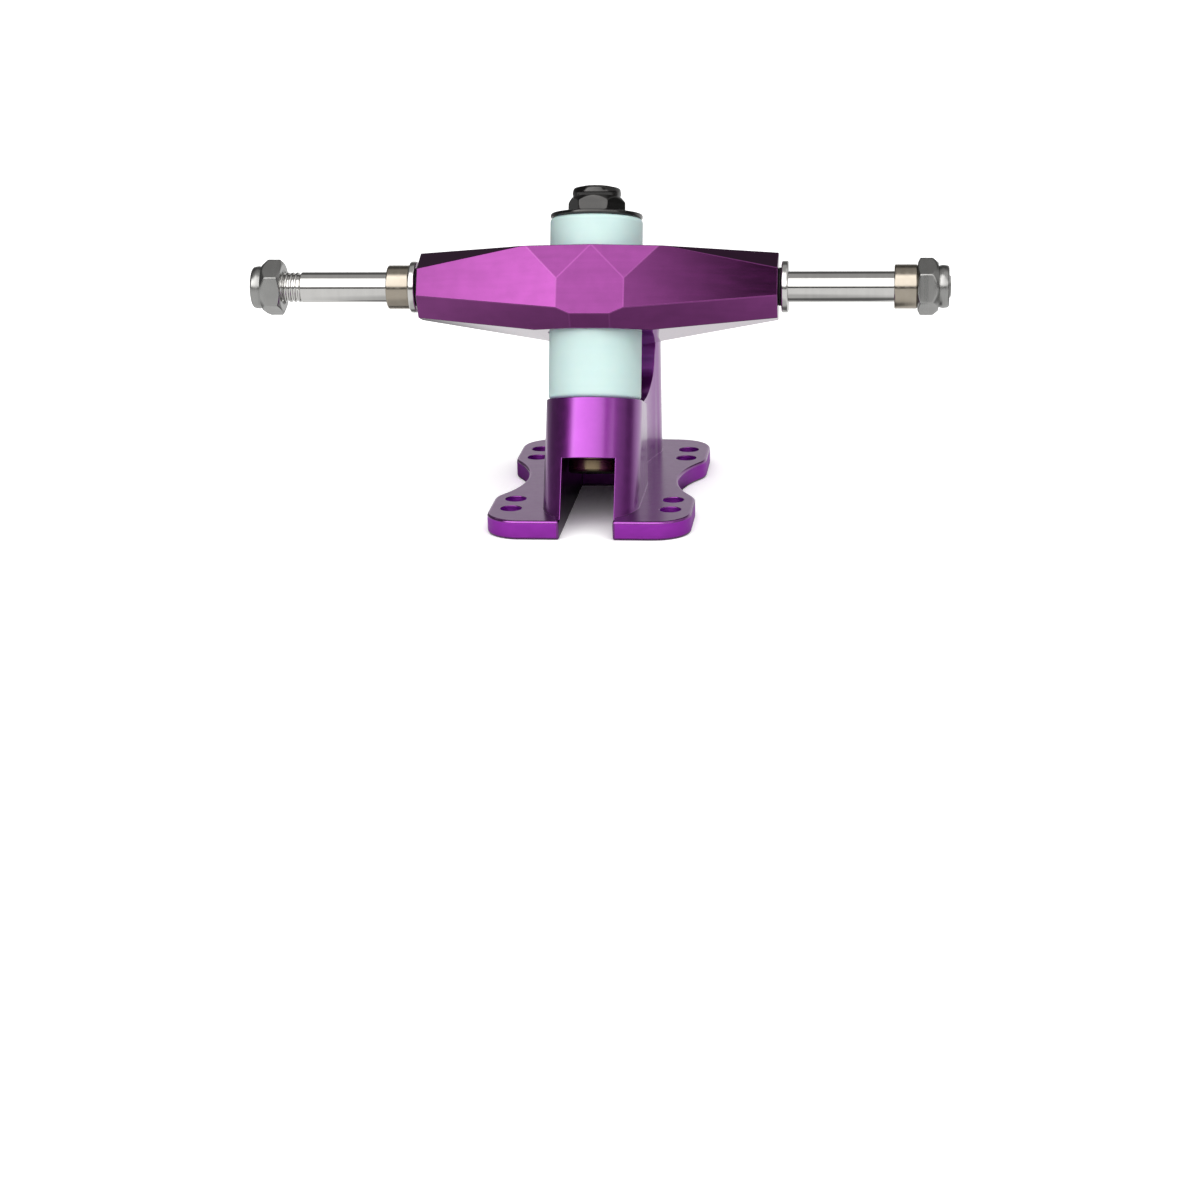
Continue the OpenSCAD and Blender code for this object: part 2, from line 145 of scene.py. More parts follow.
@dataclass(frozen=True)
class Axis:
    """A line that pieces are turned about."""

    origin: Vector
    direction: Vector

    @classmethod
    def of_joint(cls, frame: Frame, name: str) -> "Axis":
        """Take the axis of a joint in the record."""
        joint = next(j for j in frame["joints"] if j["name"] == name)
        return cls(Vector(joint["pos_m"]), Vector(joint["axis"]).normalized())

    def matrix(self, height: float = 0.0) -> Matrix:
        """Give the matrix from a space that stands on the line, z along it, to the frame."""
        turn = self.direction.to_track_quat("Z", "Y").to_matrix().to_4x4()
        return Matrix.Translation(self.origin) @ turn @ Matrix.Translation((0.0, 0.0, height))

    def point(self, height: float) -> Vector:
        """Find the point of the line at a height, in metres from its origin."""
        return self.origin + self.direction * height

    def span(self, node: Piece) -> Span:
        """Measure a node about this axis.

        Args:
            node: A CAD node.

        Returns:
            Its reach along the axis and its least and greatest radius.
        """
        heights = []
        radii = []
        for vertex in node.data.vertices:
            arm = node.matrix_world @ vertex.co - self.origin
            height = arm.dot(self.direction)
            heights.append(height)
            radii.append((arm - self.direction * height).length)
        return Span(min(heights), max(heights), min(radii), max(radii))


class Graph:
    """Adds and wires nodes of one node tree."""

    colour_inputs: ClassVar[tuple[int, int]] = (6, 7)
    colour_output: ClassVar[int] = 2

    def __init__(self, tree: bpy.types.NodeTree) -> None:
        """Start on the tree that nodes are added to."""
        self.tree = tree

    @classmethod
    def of_owner(cls, owner: Any) -> "Graph":
        """Start on the emptied tree of a material or a world.

        Args:
            owner: The material or world.

        Returns:
            The graph.
        """
        owner.use_nodes = True
        owner.node_tree.nodes.clear()
        return cls(owner.node_tree)

    def add(
        self, kind: str, inputs: Optional[dict[Any, Any]] = None, **settings: Any
    ) -> bpy.types.Node:
        """Add a node.

        Args:
            kind: Type name of the node.
            inputs: Values or sockets for its inputs, by name or number.
            **settings: Properties of the node.

        Returns:
            The new node.
        """
        node = self.tree.nodes.new(kind)
        for name, value in settings.items():
            setattr(node, name, value)
        for name, value in (inputs or {}).items():
            if isinstance(value, Socket):
                self.tree.links.new(value, node.inputs[name])
            else:
                node.inputs[name].default_value = value
        return node

    def math(self, operation: str, *values: Any) -> Socket:
        """Add a math node on numbers or sockets and give its result."""
        return self.add("ShaderNodeMath", dict(enumerate(values)), operation=operation).outputs[0]

    def product(self, *values: Any) -> Socket:
        """Multiply numbers or sockets."""
        return reduce(lambda first, second: self.math("MULTIPLY", first, second), values)

    def total(self, *values: Any) -> Socket:
        """Add up numbers or sockets."""
        return reduce(lambda first, second: self.math("ADD", first, second), values)

    def polished(self) -> Socket:
        """Give 1 for a ray that a polished or clear surface sends and 0 for any other."""
        path = self.add("ShaderNodeLightPath").outputs
        return self.math("MAXIMUM", path["Is Glossy Ray"], path["Is Transmission Ray"])

    def vector(self, operation: str, *values: Any, result: str = "Vector") -> Socket:
        """Add a vector math node and give its result of that name."""
        node = self.add("ShaderNodeVectorMath", dict(enumerate(values)), operation=operation)
        return node.outputs[result]

    def ramp(self, value: Any, fade: Fade) -> Socket:
        """Map a value smoothly through a fade.

        Args:
            value: Socket to map.
            fade: The range and the results at its ends and beyond them.

        Returns:
            The mapped value.
        """
        names = ("Value", "From Min", "From Max", "To Min", "To Max")
        inputs = dict(zip(names, (value, fade.start, fade.end, fade.low, fade.high)))
        node = self.add("ShaderNodeMapRange", inputs, interpolation_type="SMOOTHSTEP")
        return node.outputs["Result"]

    def mix(self, factor: Socket, first: Colour, second: Colour) -> Socket:
        """Mix two colours.

        Args:
            factor: Share of the second colour.
            first: Colour at 0.
            second: Colour at 1.

        Returns:
            The mixed colour.
        """
        low, high = self.colour_inputs
        inputs = {0: factor, low: (*first, 1.0), high: (*second, 1.0)}
        node = self.add("ShaderNodeMix", inputs, data_type="RGBA")
        return node.outputs[self.colour_output]


class SurfaceEffects:
    """Shader node groups that several finishes share: a blasted grain and cutter lines."""

    broad_detail: ClassVar[float] = 2.0
    mask_fade: ClassVar[Fade] = Fade(0.3, 0.7)

    def __init__(self) -> None:
        """Build the groups."""
        self.grain = self._group("blasted_grain", broad_share=0.06, detail=3.0)
        self.lines = self._group("cutter_lines", broad_share=0.2, detail=2.0)

    def _group(self, name: str, broad_share: float, detail: float) -> bpy.types.NodeTree:
        """Build a group: a broad noise for the mask and a fine one for the height.

        Args:
            name: Name of the group.
            broad_share: Scale of the broad noise, as a share of the fine one's.
            detail: Detail of the fine noise.

        Returns:
            The group's tree. An axis with a small stretch has its noise drawn out into lines.
        """
        tree = bpy.data.node_groups.new(name, "ShaderNodeTree")
        for label, kind in (("Vector", "Vector"), ("Stretch", "Vector"), ("Scale", "Float")):
            tree.interface.new_socket(label, in_out="INPUT", socket_type="NodeSocket" + kind)
        for label in ("Mask", "Height"):
            tree.interface.new_socket(label, in_out="OUTPUT", socket_type="NodeSocketFloat")
        graph = Graph(tree)
        source = graph.add("NodeGroupInput").outputs
        drawn = graph.vector("MULTIPLY", source["Vector"], source["Stretch"])
        scale = source["Scale"]
        broad, fine = (
            graph.add("ShaderNodeTexNoise", {"Vector": drawn, "Scale": size, "Detail": depth})
            for size, depth in (
                (graph.product(scale, broad_share), self.broad_detail),
                (scale, detail),
            )
        )
        mask = graph.ramp(broad.outputs[0], self.mask_fade)
        graph.add("NodeGroupOutput", {"Mask": mask, "Height": fine.outputs[0]})
        return tree


@dataclass(frozen=True)
class Finish:
    """A metal, urethane or plastic surface: two tones, a grain and directional lines."""

    name: str
    tone: Colour
    second_tone: Colour
    metallic: float
    roughness: tuple[float, float]
    grain: float = 4000.0
    grain_height: float = 0.0
    stretch: Place = (1.0, 1.0, 1.0)
    lines: float = 2500.0
    line_height: float = 0.0
    centre: Place = (0.0, 0.0, 0.0)
    lean: float = 0.0
    coat: float = 0.0
    coat_ior: float = 1.5
    coat_roughness: float = 0.1
    subsurface: float = 0.0
    subsurface_depth: float = 2.0 * MM
    ior: float = 1.5

    def material(self, effects: SurfaceEffects) -> Material:
        """Build the material.

        Args:
            effects: The shared node groups.

        Returns:
            A node material that reads Object coordinates.
        """
        material = bpy.data.materials.new(self.name)
        graph = Graph.of_owner(material)
        mapping = graph.add(
            "ShaderNodeMapping",
            {
                "Vector": graph.add("ShaderNodeTexCoord").outputs["Object"],
                "Location": self.centre,
                "Rotation": (self.lean, 0.0, 0.0),
            },
            vector_type="TEXTURE",
        )
        vector = mapping.outputs["Vector"]
        grain, lines = (
            graph.add(
                "ShaderNodeGroup",
                {"Vector": vector, "Stretch": stretch, "Scale": scale},
                node_tree=tree,
            ).outputs
            for tree, stretch, scale in (
                (effects.grain, (1.0, 1.0, 1.0), self.grain),
                (effects.lines, self.stretch, self.lines),
            )
        )
        mean = graph.product(graph.total(grain["Mask"], lines["Mask"]), 0.5)
        height = graph.total(
            graph.product(grain["Height"], self.grain_height),
            graph.product(lines["Height"], self.line_height),
        )
        bump = graph.add("ShaderNodeBump", {"Height": height, "Strength": 1.0, "Distance": MM})
        shader = graph.add(
            "ShaderNodeBsdfPrincipled",
            {
                "Base Color": graph.mix(mean, self.tone, self.second_tone),
                "Roughness": graph.ramp(lines["Mask"], Fade(0.0, 1.0, *self.roughness)),
                "Metallic": self.metallic,
                "IOR": self.ior,
                "Coat Weight": self.coat,
                "Coat IOR": self.coat_ior,
                "Coat Roughness": self.coat_roughness,
                "Subsurface Weight": self.subsurface,
                "Subsurface Scale": self.subsurface_depth,
                "Normal": bump.outputs["Normal"],
            },
        )
        graph.add("ShaderNodeOutputMaterial", {"Surface": shader.outputs["BSDF"]})
        return material


@dataclass(frozen=True)
class Finishes:
    """All the finishes of the truck, each built once."""

    plate: Material
    plate_edge_highlight: Material
    plate_side_painted_light: Material
    hanger: Material
    hanger_edge_highlight: Material
    mint: Material
    cup: Material
    kingpin: Material
    black: Material
    steel: Material
    washer: Material
    nickel: Material
    zinc: Material
    nylon: Material
    rubber: Material

    @classmethod
    def build(cls, kingpin: Axis, axle: Axis) -> "Finishes":
        """Build every material.

        Args:
            kingpin: Axis of the kingpin.
            axle: Axis of the axle.

        Returns:
            The finishes.
        """
        effects = SurfaceEffects()
        stack = {"centre": tuple(kingpin.origin), "lean": -math.asin(kingpin.direction.y)}
        faceted = {**stack, "stretch": (0.02, 0.4, 1.0)}
        ringed = {**stack, "stretch": (0.03, 0.03, 1.0)}
        turned_axle = {"centre": tuple(axle.origin), "stretch": (1.0, 0.03, 0.03)}
        made = dict(
            plate=Finish(
                "plate_anodised", (0.3, 0.034, 0.37), (0.33, 0.039, 0.4), 1.0, (0.29, 0.33),
                grain_height=0.0006, coat=1.0, coat_ior=1.55, coat_roughness=0.18,
            ),
            # A lighter copy of the plate finish for the broken edges: a painted highlight.
            plate_edge_highlight=Finish(
                "plate_edge_highlight", (0.34, 0.05, 0.41), (0.37, 0.06, 0.44), 1.0, (0.2, 0.22),
                coat=1.0, coat_ior=1.55,
            ),
            # The side-milled walls are rougher; their tone, lighter than the plate's, paints extra
            # light on them.
            plate_side_painted_light=Finish(
                "plate_side_painted_light", (0.5, 0.058, 0.66), (0.54, 0.064, 0.7), 1.0, (0.38, 0.46),
                lines=6000.0, line_height=0.002, stretch=(0.3, 0.3, 1.0),
            ),
            hanger=Finish(
                "hanger_anodised", (0.172, 0.016, 0.16), (0.204, 0.022, 0.19), 1.0, (0.06, 0.085),
                lines=3200.0, line_height=0.0005, coat=0.6, coat_ior=1.55, coat_roughness=0.06,
                **faceted,
            ),
            # A lighter copy of the hanger finish for the broken edges: a painted highlight.
            hanger_edge_highlight=Finish(
                "hanger_edge_highlight", (0.225, 0.029, 0.21), (0.25, 0.036, 0.232), 1.0, (0.18, 0.22),
                coat=0.7, coat_ior=1.55, **stack,
            ),
            mint=Finish(
                "mint_urethane", (0.585, 0.785, 0.76), (0.615, 0.805, 0.78), 0.0, (0.36, 0.46),
                grain_height=0.002, subsurface=0.12, **ringed,
            ),
            cup=Finish(
                "pivot_urethane", (0.02, 0.02, 0.022), (0.03, 0.03, 0.033), 0.0, (0.4, 0.55),
                grain_height=0.01,
            ),
            # The kingpin's tone is darkened far below bright zinc: painted shade for the head in
            # the dark slot, which the tip above the nut shares.
            kingpin=Finish(
                "kingpin_zinc_painted_shade", (0.13, 0.1, 0.06), (0.17, 0.13, 0.08), 1.0, (0.2, 0.3),
                line_height=0.004, **ringed,
            ),
            black=Finish(
                "black_oxide", (0.045, 0.044, 0.043), (0.06, 0.059, 0.057), 1.0, (0.14, 0.22),
                grain_height=0.001, line_height=0.001, coat=0.5, coat_roughness=0.08, **ringed,
            ),
            steel=Finish(
                "polished_steel", (0.7, 0.69, 0.67), (0.76, 0.75, 0.73), 1.0, (0.05, 0.1),
                line_height=0.003, **turned_axle,
            ),
            washer=Finish(
                "bright_washer", (0.74, 0.73, 0.71), (0.8, 0.79, 0.77), 1.0, (0.14, 0.24),
                line_height=0.004, **turned_axle,
            ),
            nickel=Finish(
                "nickel", (0.44, 0.39, 0.32), (0.49, 0.44, 0.37), 1.0, (0.14, 0.24),
                line_height=0.006, **turned_axle,
            ),
            zinc=Finish(
                "zinc_plate", (0.36, 0.36, 0.35), (0.43, 0.43, 0.42), 1.0, (0.2, 0.3),
                grain_height=0.003, **turned_axle,
            ),
            nylon=Finish(
                "nylon", (0.78, 0.77, 0.73), (0.84, 0.83, 0.8), 0.0, (0.4, 0.5),
                grain_height=0.008, subsurface=0.2,
            ),
            rubber=Finish(
                "seal_rubber", (0.02, 0.02, 0.021), (0.03, 0.03, 0.031), 0.0, (0.5, 0.65),
                grain_height=0.015, **turned_axle,
            ),
        )
        return cls(**{label: finish.material(effects) for label, finish in made.items()})


def rounded(corners: Sequence[Corner], steps: int = 5) -> list[tuple[float, float]]:
    """Round the corners of an outline.

    Args:
        corners: Radius, height and rounding of each corner, going round the outline.
        steps: Pieces in each rounded corner.

    Returns:
        Points of the outline: radius and height.
    """
    points: list[tuple[float, float]] = []
    for number, (radius, height, fillet) in enumerate(corners):
        here = Vector((radius, height))
        if fillet <= 0.0:
            points.append((radius, height))
            continue
        back = (Vector(corners[number - 1][:2]) - here).normalized()
        ahead = (Vector(corners[(number + 1) % len(corners)][:2]) - here).normalized()
        half = back.angle(ahead) / 2
        centre = here + (back + ahead).normalized() * (fillet / math.sin(half))
        first = here + back * (fillet / math.tan(half)) - centre
        last = here + ahead * (fillet / math.tan(half)) - centre
        sweep = first.angle(last)
        for step in range(steps + 1):
            share = step / steps
            arm = first * math.sin((1 - share) * sweep) + last * math.sin(share * sweep)
            points.append(tuple(centre + arm / math.sin(sweep)))
    return points


def skin(loops: Sequence[Sequence[Vector]], closed: bool) -> bmesh.types.BMesh:
    """Skin a row of rings into a solid.

    Args:
        loops: Rings of points, each with as many points as the next, or one point for a pole.
        closed: Whether the last ring joins the first.

    Returns:
        The solid, faces outward.
    """
    mesh = bmesh.new()
    circles = [[mesh.verts.new(point) for point in loop] for loop in loops]
    following_circles = circles[1:] + circles[:1] if closed else circles[1:]
    for first, second in zip(circles, following_circles):
        count = max(len(first), len(second))
        for number in range(count):
            following = (number + 1) % count
            if len(first) == 1:
                corners = (first[0], second[number], second[following])
            elif len(second) == 1:
                corners = (first[number], second[0], first[following])
            else:
                corners = (first[number], second[number], second[following], first[following])
            mesh.faces.new(corners)
    bmesh.ops.recalc_face_normals(mesh, faces=mesh.faces)
    return mesh


def linked(name: str, data: bpy.types.ID) -> Piece:
    """Put an object into the scene.

    Args:
        name: Name of the object.
        data: Its mesh, lamp or camera.

    Returns:
        The object.
    """
    thing = bpy.data.objects.new(name, data)
    bpy.context.scene.collection.objects.link(thing)
    return thing


def settle(piece: Piece) -> None:
    """Give an object the plain mesh that its modifiers make.

    Args:
        piece: The object, whose modifiers are cleared.
    """
    graph = bpy.context.evaluated_depsgraph_get()
    data = bpy.data.meshes.new_from_object(piece.evaluated_get(graph))
    piece.modifiers.clear()
    data.name = piece.name
    piece.data = data


def solid(name: str, mesh: bmesh.types.BMesh, placement: Matrix, sharp: float = 38.0) -> Piece:
    """Turn a mesh under construction into an object with weighted normals.

    Args:
        name: Name of the object.
        mesh: The mesh, which is freed.
        placement: Matrix from the mesh's own space to the frame.
        sharp: Angle in degrees above which an edge stays sharp.

    Returns:
        The object, at the origin, its mesh in the frame.
    """
    data = bpy.data.meshes.new(name)
    mesh.to_mesh(data)
    mesh.free()
    data.transform(placement)
    data.shade_smooth()
    data.set_sharp_from_angle(angle=math.radians(sharp))
    piece = linked(name, data)
    weighted = piece.modifiers.new("weighted", "WEIGHTED_NORMAL")
    weighted.keep_sharp = True
    settle(piece)
    return piece


def rings(outline: Sequence[tuple[float, float]]) -> list[list[Vector]]:
    """Turn each point of an outline into a ring.

    Args:
        outline: Radius and height of each point.

    Returns:
        The rings, with one point where the radius is zero.
    """
    angles = [2 * math.pi * number / ROUND_SIDES for number in range(ROUND_SIDES)]
    return [
        [Vector((radius * math.cos(a), radius * math.sin(a), height)) for a in angles]
        if radius >= WELD
        else [Vector((0.0, 0.0, height))]
        for radius, height in outline
    ]


def turned(name: str, corners: Sequence[Corner], axis: Axis) -> Piece:
    """Turn an outline about an axis.

    Args:
        name: Name of the object.
        corners: Radius, height and rounding of each corner. An outline that starts and ends on
            the axis makes a rod.
        axis: The axis it is turned about.

    Returns:
        The turned object.
    """
    rod = corners[0][0] == 0.0 and corners[-1][0] == 0.0
    return solid(name, skin(rings(rounded(corners)), closed=not rod), axis.matrix())


def ring_corners(
    span: Span, rounding: float, bore_rounding: float = 0.15 * MM, clearance: float = 0.01 * MM
) -> list[Corner]:
    """Outline of a plain ring.

    Args:
        span: Size of the ring.
        rounding: Rounding of the outer corners.
        bore_rounding: Rounding of the bore's corners.
        clearance: How far each flat face stands off the piece beside it.

    Returns:
        Corners for turned.
    """
    low, high = span.low + clearance, span.high - clearance
    return [
        (span.inner, low, bore_rounding),
        (span.outer, low, rounding),
        (span.outer, high, rounding),
        (span.inner, high, bore_rounding),
    ]


def machined_copy(
    name: str,
    node: Piece,
    width: float,
    share: Callable[[bmesh.types.BMEdge], float],
    materials: Sequence[Material],
    apart: Callable[[bpy.types.MeshPolygon], bool] = lambda face: False,
    flat_angle: float = math.radians(0.3),
    segments: int = 3,
) -> Piece:
    """Copy a CAD node and break its edges.

    Args:
        name: Name of the copy.
        node: The CAD node.
        width: Width of the broadest broken edge, in metres.
        share: Gives the share of that width that an edge is broken by.
        materials: Finish of the faces, the lighter finish of the broken edges that paints a
            highlight on them, and the finish of the faces that stand apart.
        apart: Tells the faces that stand apart.
        flat_angle: Angle below which neighbouring faces count as one.
        segments: Faces across a broken edge.

    Returns:
        The copy, at the origin, its mesh in the frame.
    """
    work = bmesh.new()
    work.from_mesh(node.data)
    bmesh.ops.remove_doubles(work, verts=work.verts, dist=WELD)
    bmesh.ops.dissolve_limit(
        work,
        angle_limit=flat_angle,
        use_dissolve_boundaries=False,
        verts=work.verts,
        edges=work.edges,
    )
    work.verts.index_update()
    points = [vertex.co.copy() for vertex in work.verts]
    faces = [[vertex.index for vertex in face.verts] for face in work.faces]
    shares = {frozenset(vertex.index for vertex in edge.verts): share(edge) for edge in work.edges}
    work.free()
    data = bpy.data.meshes.new(name)
    data.from_pydata(points, [], faces)
    for material in materials:
        data.materials.append(material)
    for face in data.polygons:
        face.material_index = Dress.APART if apart(face) else Dress.FACES
    data.shade_smooth()
    weights = data.attributes.new("bevel_weight_edge", "FLOAT", "EDGE").data
    for edge in data.edges:
        weights[edge.index].value = shares[frozenset(edge.vertices)]
        edge.use_edge_sharp = weights[edge.index].value > 0.0
    piece = linked(name, data)
    bevel = piece.modifiers.new("broken_edges", "BEVEL")
    bevel.width = width
    bevel.segments = segments
    bevel.limit_method = "WEIGHT"
    bevel.use_clamp_overlap = False
    # The broken edges take the lighter edge finish, a painted highlight.
    bevel.material = Dress.EDGES
    bevel.harden_normals = True
    settle(piece)
    return piece


def body_of(frame: Frame, node: str) -> str:
    """Find the name of the body that a node belongs to."""
    bodies = frame["record"]["behaviour"]["bodies"]
    return next(body for body, members in bodies.items() if node in members)


def report(piece: Piece) -> None:
    """Log a finished piece."""
    LOG.info("%s: %d faces", piece.name, len(piece.data.polygons))


@dataclass(frozen=True)
class Assembly:
    frame: Frame
    finishes: Finishes

    def publish(self, piece: Piece, node: str, slot: Slot, *materials: Material) -> None:
        """Dress a piece, hang it on the body of the node it replaces and report it.

        Args:
            piece: The finished object.
            node: CAD node that it replaces.
            slot: Material slot of the piece; not used.
            *materials: Its finishes. Left out where the mesh has them already.
        """
        for material in materials:
            piece.data.materials.append(material)
        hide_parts(node)
        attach(piece, body_of(self.frame, node))
        report(piece)


class ThreadTree:
    """Geometry Nodes tree that winds a thread ridge along a spiral path."""

    turn_points: ClassVar[int] = 48
    crest_points: ClassVar[int] = 8

    def __init__(self) -> None:
        """Build the tree."""
        self.tree = bpy.data.node_groups.new("thread_ridge", "GeometryNodeTree")
        face = self.tree.interface
        for label in ("Radius", "Pitch", "Turns", "Crest"):
            face.new_socket(label, in_out="INPUT", socket_type="NodeSocketFloat")
        face.new_socket("Material", in_out="INPUT", socket_type="NodeSocketMaterial")
        face.new_socket("Geometry", in_out="OUTPUT", socket_type="NodeSocketGeometry")
        graph = Graph(self.tree)
        source = graph.add("NodeGroupInput").outputs
        spiral = graph.add(
            "GeometryNodeCurveSpiral",
            {
                "Resolution": self.turn_points,
                "Rotations": source["Turns"],
                "Start Radius": source["Radius"],
                "End Radius": source["Radius"],
                "Height": graph.product(source["Pitch"], source["Turns"]),
            },
        )
        crest = graph.add(
            "GeometryNodeCurvePrimitiveCircle",
            {"Resolution": self.crest_points, "Radius": source["Crest"]},
        )
        ridge = graph.add(
            "GeometryNodeCurveToMesh",
            {"Curve": spiral.outputs[0], "Profile Curve": crest.outputs[0], "Fill Caps": True},
        )
        smooth = graph.add("GeometryNodeSetShadeSmooth", {"Geometry": ridge.outputs[0]})
        whole = graph.add("GeometryNodeRealizeInstances", {"Geometry": smooth.outputs[0]})
        dressed = graph.add(
            "GeometryNodeSetMaterial",
            {"Geometry": whole.outputs[0], "Material": source["Material"]},
        )
        graph.add("NodeGroupOutput", {"Geometry": dressed.outputs[0]})

    def wind(self, name: str, placement: Matrix, **values: Any) -> Piece:
        """Wind one thread.

        Args:
            name: Name of the object.
            placement: Matrix from the spiral's own space to the frame.
            **values: Values of the tree's inputs, by name.

        Returns:
            The thread as a plain mesh.
        """
        piece = linked(name, bpy.data.meshes.new(name))
        modifier = piece.modifiers.new("thread", "NODES")
        modifier.node_group = self.tree
        for item in self.tree.interface.items_tree:
            if item.in_out == "INPUT":
                modifier[item.identifier] = values[item.name]
        settle(piece)
        piece.data.transform(placement)
        return piece


@dataclass(frozen=True)
class BasePlate(Assembly):
    """The plate with its two posts."""

    edge: float = 0.65 * MM
    edge_angle: float = math.radians(24)
    plate_thick: float = 5.5 * MM
    slot_half: float = 7.0 * MM
    post_share: float = 0.3
    inner_share: float = 0.2
    hole_share: float = 0.3
    valley_share: float = 0.16
    valley_reach: float = 8.0 * MM
    hole_reach: float = 3.3 * MM
    wall_slope: float = 0.2

    def build(self) -> None:
        """Build and dress the plate."""
        record = self.frame["record"]
        openings = record["physics"]["openings"]
        valley = next(opening["box_m"] for opening in openings if opening["name"] == "valley")
        holes = [hole for mount in record["mounts"] for hole in self._holes(mount)]

        def share(edge: bmesh.types.BMEdge) -> float:
            """Give an edge's share of the broken edge.

            Args:
                edge: An edge of the plate.

            Returns:
                The share, 0 for an edge that stays.
            """
            middle = (edge.verts[0].co + edge.verts[1].co) / 2
            if edge.calc_face_angle(0.0) < self.edge_angle:
                return 0.0
            if not edge.is_convex:
                return self.inner_share
            if any((middle.xy - hole).length < self.hole_reach for hole in holes):
                return self.hole_share
            low, high = valley[0][1] - self.valley_reach, valley[1][1] + self.valley_reach
            if low < middle.y < high and middle.z > valley[0][2] - self.valley_reach:
                return self.valley_share
            return 1.0 if middle.z < self.plate_thick else self.post_share

        def milled(face: bpy.types.MeshPolygon) -> bool:
            """Tell the side-milled walls of the plate, outside the slot, which take the rougher
            wall finish whose lighter tone paints extra light on them.
            """
            upright = abs(face.normal.z) < self.wall_slope and face.center.z < self.plate_thick
            return upright and abs(face.center.x) > self.slot_half

        dress = (self.finishes.plate, self.finishes.plate_edge_highlight, self.finishes.plate_side_painted_light)
        node = self.frame["nodes"]["base_plate"]
        piece = machined_copy("plate_finish", node, self.edge, share, dress, milled)
        self.publish(piece, "base_plate", Slot.PLATE)

    @staticmethod
    def _holes(mount: dict[str, Any]) -> list[Vector]:
        """List the holes of a bolt pattern.

        Args:
            mount: A mount of the record.

        Returns:
            Centres of its holes on the plate, none for a mount of another kind.
        """
        if mount["kind"] != "bolt_pattern":
            return []
        half_x = mount["dims"]["spacing_x_mm"] * MM / 2
        half_y = mount["dims"]["spacing_y_mm"] * MM / 2
        middle = Vector(mount["pos_m"][:2])
        return [middle + Vector((x * half_x, y * half_y)) for x in (-1, 1) for y in (-1, 1)]


@dataclass(frozen=True)
class Hanger(Assembly):
    """The faceted hanger."""

    edge: float = 0.2 * MM
    edge_angle: float = math.radians(10)

    def build(self) -> None:
        """Build and dress the hanger."""
        dress = (self.finishes.hanger, self.finishes.hanger_edge_highlight)
        node = self.frame["nodes"]["hanger"]
        piece = machined_copy("hanger_finish", node, self.edge, self._share, dress)
        self.publish(piece, "hanger", Slot.PLATE)

    def _share(self, edge: bmesh.types.BMEdge) -> float:
        """Give 1 for a ridge between two facets and 0 for any other edge."""
        return float(edge.is_convex and edge.calc_face_angle(0.0) > self.edge_angle)


